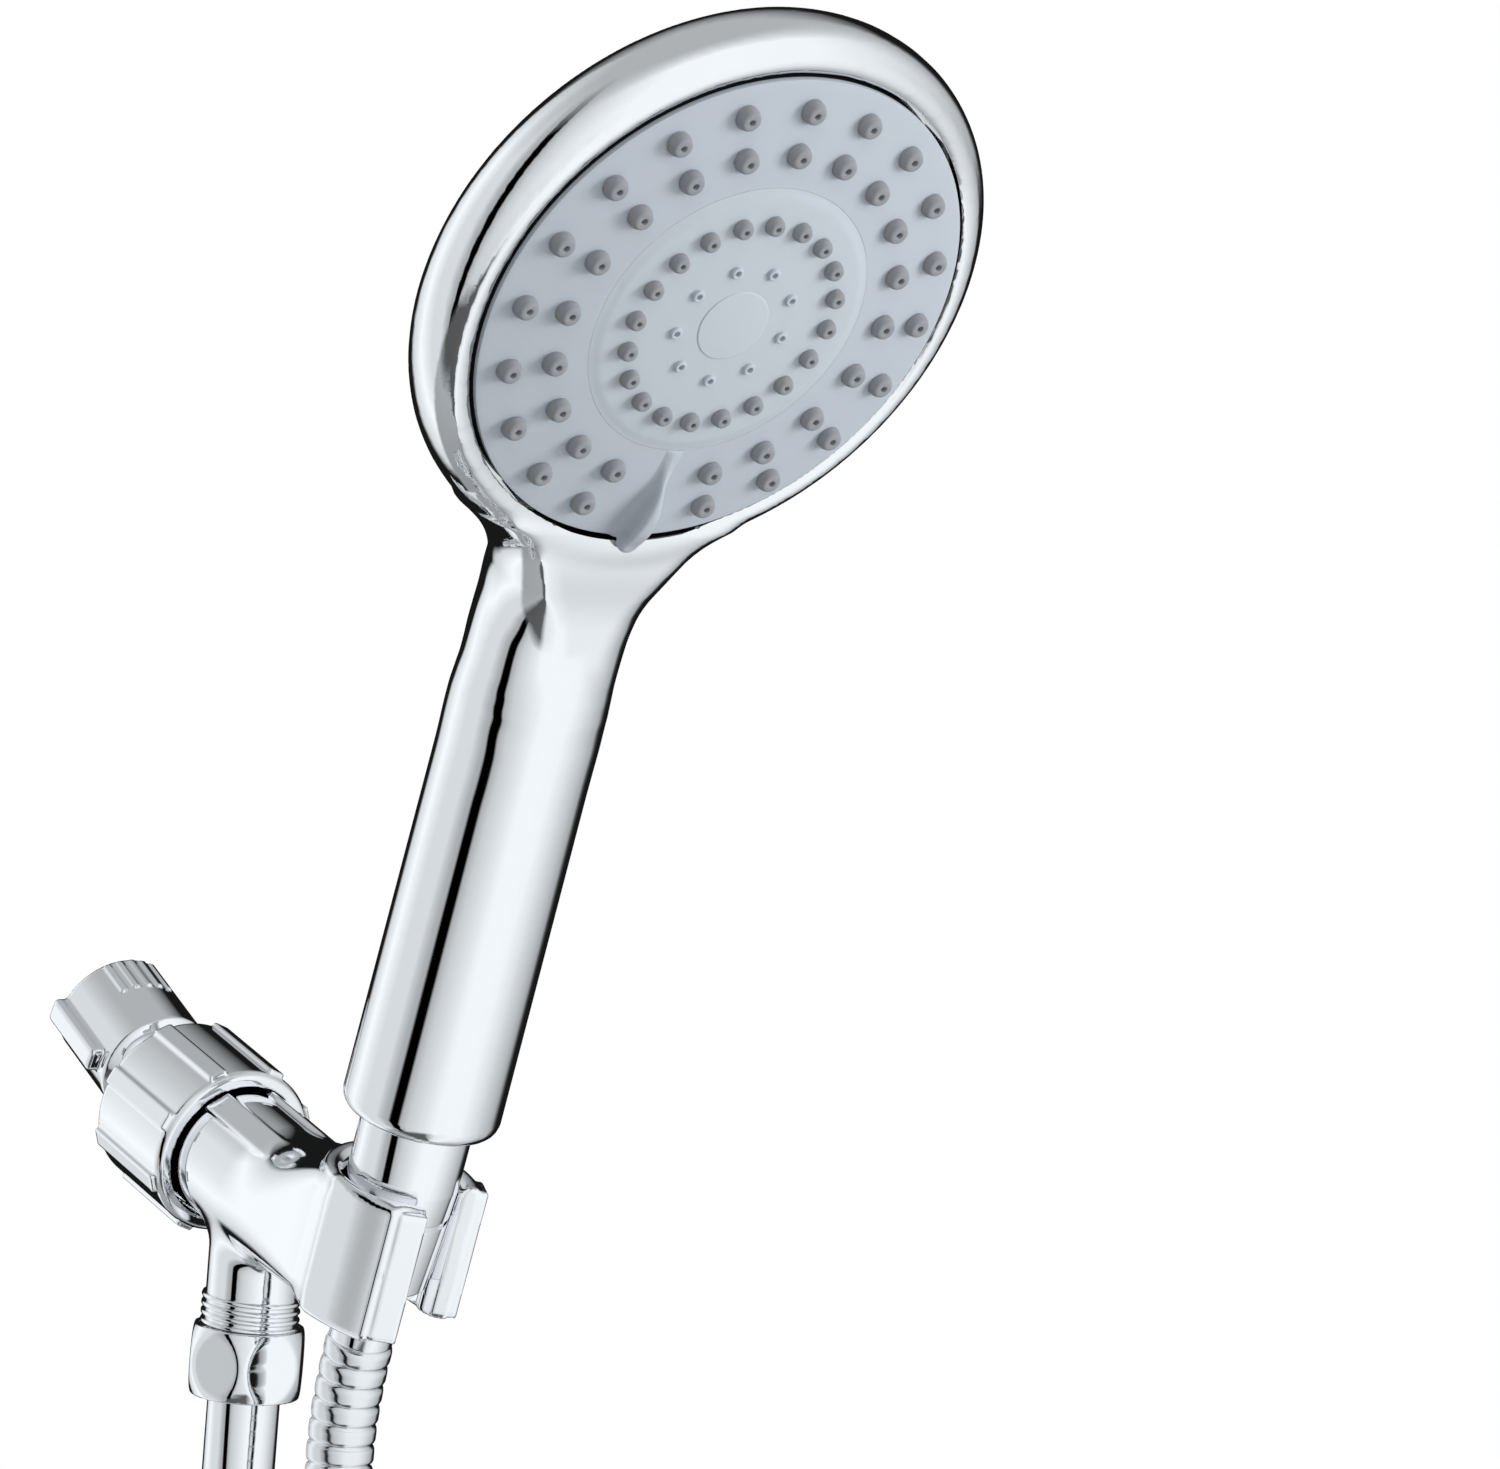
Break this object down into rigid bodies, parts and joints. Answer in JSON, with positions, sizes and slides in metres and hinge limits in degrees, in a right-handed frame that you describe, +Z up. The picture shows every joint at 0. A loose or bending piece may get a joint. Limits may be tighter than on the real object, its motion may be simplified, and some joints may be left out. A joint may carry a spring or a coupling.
{
  "type": "handheld shower head",
  "caption": "Handheld shower head with a lever-turned spray face, resting in a swivel bracket with an open tapered cradle and fed by a ribbed hose that hangs in a coil.",
  "frame": {"origin": "centre of the inlet socket's mouth, where the bracket screws on to the wall's thread", "axes": "+Z up, -Y forward and out from the wall, +X to the shower's left as it faces the user, X = 0 is the plane of the barrel's, handle's and outlet's axes"},
  "size_m": [0.156, 0.2612, 0.5359],
  "materials": {
    "chrome_plastic": "chrome-plated, mirror bright",
    "chrome_metal": "chrome-plated brass, mirror bright",
    "brass": "turned",
    "face_grey": "satin silver grey",
    "cap_silver": "satin",
    "nozzle_rubber": "soft grey",
    "hose_silver": "silver, ribbed",
    "white_plastic": "moulded",
    "black_rubber": "matt",
    "steel": "plain"
  },
  "bodies": {
    "adapter": {"ball_adapter": "chrome_plastic", "inlet_washer": "black_rubber"},
    "seal": {"ball_seal": "black_rubber"},
    "seat": {"ball_seat": "white_plastic"},
    "bracket": {"bracket_body": "chrome_plastic", "lower_tail": "brass", "hex_washer": "black_rubber", "crimp_sleeve": "chrome_metal", "hose_return": "hose_silver", "hose_coil": "hose_silver", "hose_upper": "hose_silver", "hose_ties": "black_rubber"},
    "clamp_nut": {"coupling_nut": "chrome_plastic"},
    "outlet_nut": {"hex_nut": "chrome_metal"},
    "hose_end": {"upper_tail": "brass", "upper_ferrule": "chrome_metal"},
    "hand_shower": {"handle_shell": "chrome_plastic", "inlet_nipple": "brass", "filter_washer": "black_rubber", "flow_restrictor": "white_plastic", "restrictor_ring": "black_rubber", "water_tube": "white_plastic", "tube_ring": "black_rubber", "head_core": "white_plastic", "core_screws": "steel", "seat_gasket": "black_rubber", "detent_spring": "steel", "pivot_screw": "steel", "cone_nut": "chrome_metal", "cone_washer": "black_rubber"},
    "spray_face": {"selector_disc": "white_plastic", "spray_chamber": "white_plastic", "face_plate": "face_grey", "centre_plate": "face_grey", "outer_nozzles": "nozzle_rubber", "inner_nozzles": "nozzle_rubber", "centre_cap": "cap_silver"},
    "click_ball": {"detent_ball": "steel"}
  },
  "joints": [
    {"name": "ball_tilt", "type": "hinge", "parent": "adapter", "child": "seal", "pos_m": [0, -0.03333, -0.02283], "axis": [1, 0, 0], "range_deg": [-1, 24]},
    {"name": "ball_yaw", "type": "hinge", "parent": "seal", "child": "seat", "pos_m": [0, -0.03333, -0.02283], "axis": [0, -0.3827, 0.9239], "range_deg": [-9, 9]},
    {"name": "ball_spin", "type": "hinge", "parent": "seat", "child": "bracket", "pos_m": [0, -0.03333, -0.02283], "axis": [0, -0.9239, -0.3827], "range_deg": [-90, 90]},
    {"name": "clamp_nut_turn", "type": "hinge", "parent": "bracket", "child": "clamp_nut", "pos_m": [0, -0.03333, -0.02283], "axis": [0, -0.9239, -0.3827], "range_deg": [-90, 90]},
    {"name": "outlet_nut_turn", "type": "hinge", "parent": "bracket", "child": "outlet_nut", "pos_m": [0, -0.05911, -0.0335], "axis": [0, 0.1392, -0.9903], "range_deg": [-90, 90]},
    {"name": "lift_out", "type": "slide", "parent": "bracket", "child": "hose_end", "axis": [0, -0.4171, 0.9089], "range_m": [0, 0.042], "deforming": ["hose_upper"]},
    {"name": "handle_swivel", "type": "hinge", "parent": "hose_end", "child": "hand_shower", "pos_m": [0, -0.11797, -0.01808], "axis": [0, -0.4171, 0.9089], "range_deg": [-45, 45]},
    {"name": "spray_select", "type": "hinge", "parent": "hand_shower", "child": "spray_face", "pos_m": [0, -0.21995, 0.13845], "axis": [0, -0.7971, -0.6039], "range_deg": [-60, 60]},
    {"name": "click_travel", "type": "slide", "parent": "hand_shower", "child": "click_ball", "axis": [0, -0.7971, -0.6039], "range_m": [0, 0.0006], "stiffness_N_per_m": 500, "deforming": ["detent_spring"]}
  ]
}
